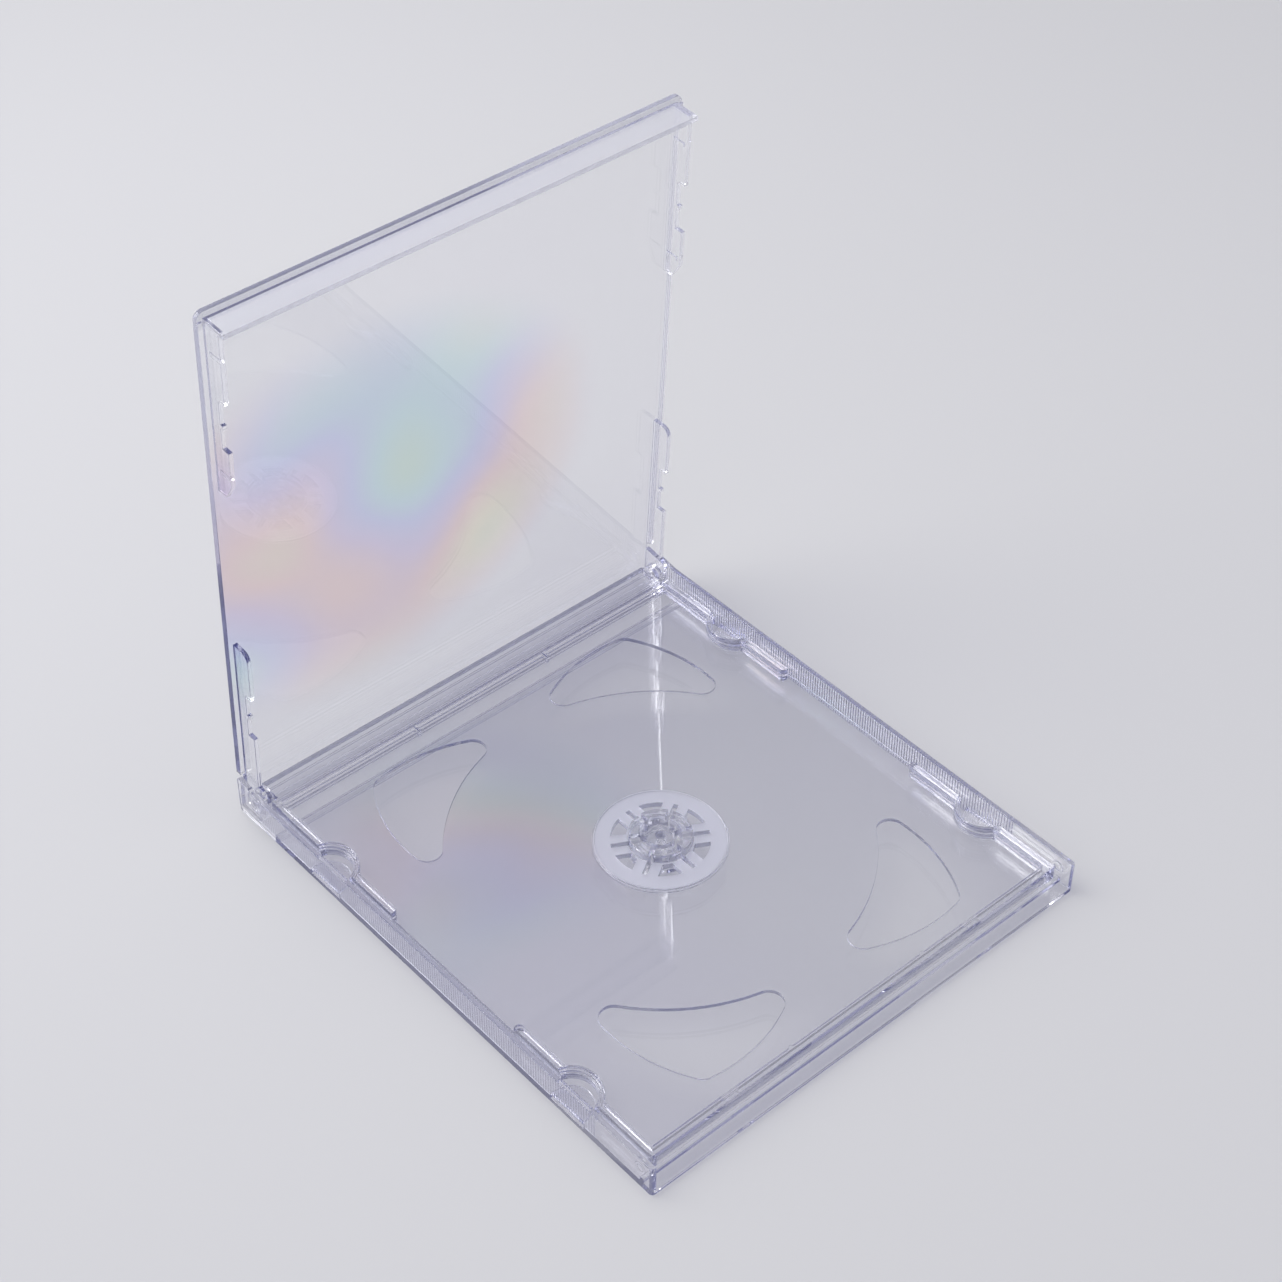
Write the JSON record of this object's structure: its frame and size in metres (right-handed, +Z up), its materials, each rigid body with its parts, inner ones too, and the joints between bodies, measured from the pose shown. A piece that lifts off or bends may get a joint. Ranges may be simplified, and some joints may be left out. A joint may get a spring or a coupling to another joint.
{
  "type": "cd jewel case",
  "caption": "Clear plastic disc jewel case: front cover with side walls lying flat, back cover hinged upright, and a flip tray with toothed hub and finger openings.",
  "frame": {"origin": "middle of the front cover's 142 by 125 mm outline, on the table", "axes": "+X from the hinge end to the opening edge, +Y along the hinge line, +Z up"},
  "size_m": [0.1423, 0.125, 0.1421],
  "materials": {
    "clear_styrene": "clear, glossy, faint violet tint at the edges"
  },
  "bodies": {
    "front_cover": {"front_cover": "clear_styrene"},
    "disc_tray": {"disc_tray": "clear_styrene"},
    "back_cover": {"back_cover": "clear_styrene"}
  },
  "joints": [
    {"name": "tray_flip", "type": "hinge", "parent": "front_cover", "child": "disc_tray", "pos_m": [-0.0658, 0, 0.0052], "axis": [0, -1, 0], "range_deg": [0, 90]},
    {"name": "cover_hinge", "type": "hinge", "parent": "disc_tray", "child": "back_cover", "pos_m": [-0.0658, 0, 0.0052], "axis": [0, -1, 0], "range_deg": [-86.7, 3.3]}
  ]
}
